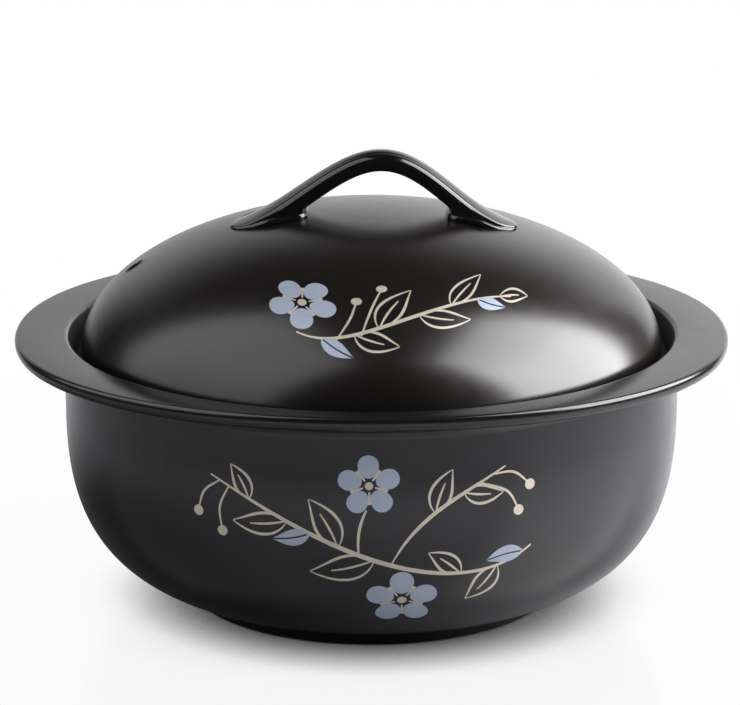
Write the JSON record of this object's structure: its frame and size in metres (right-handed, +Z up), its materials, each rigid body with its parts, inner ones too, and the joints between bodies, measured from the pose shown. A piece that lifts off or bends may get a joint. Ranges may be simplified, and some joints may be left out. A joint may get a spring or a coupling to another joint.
{
  "type": "casserole pot",
  "caption": "Round glazed ceramic casserole pot with an oval rim, a domed lid that lifts off, a strap handle on the lid and a foot ring.",
  "frame": {"origin": "on the standing face of the foot ring, under the middle of the pot", "axes": "+X towards the right ear of the rim, +Y towards the back, +Z up and the way the lid lifts off"},
  "size_m": [0.299, 0.2768, 0.1908],
  "materials": {
    "pot_glaze": "glossy black glaze",
    "lid_glaze": "satin black glaze",
    "handle_glaze": "glossy black glaze"
  },
  "bodies": {
    "pot": {"pot_body": "pot_glaze"},
    "lid": {"lid_shell": "lid_glaze", "lid_handle": "handle_glaze"}
  },
  "joints": [
    {"name": "lid_lift", "type": "slide", "parent": "pot", "child": "lid", "axis": [0, 0, 1], "range_m": [0, 0.12]}
  ]
}
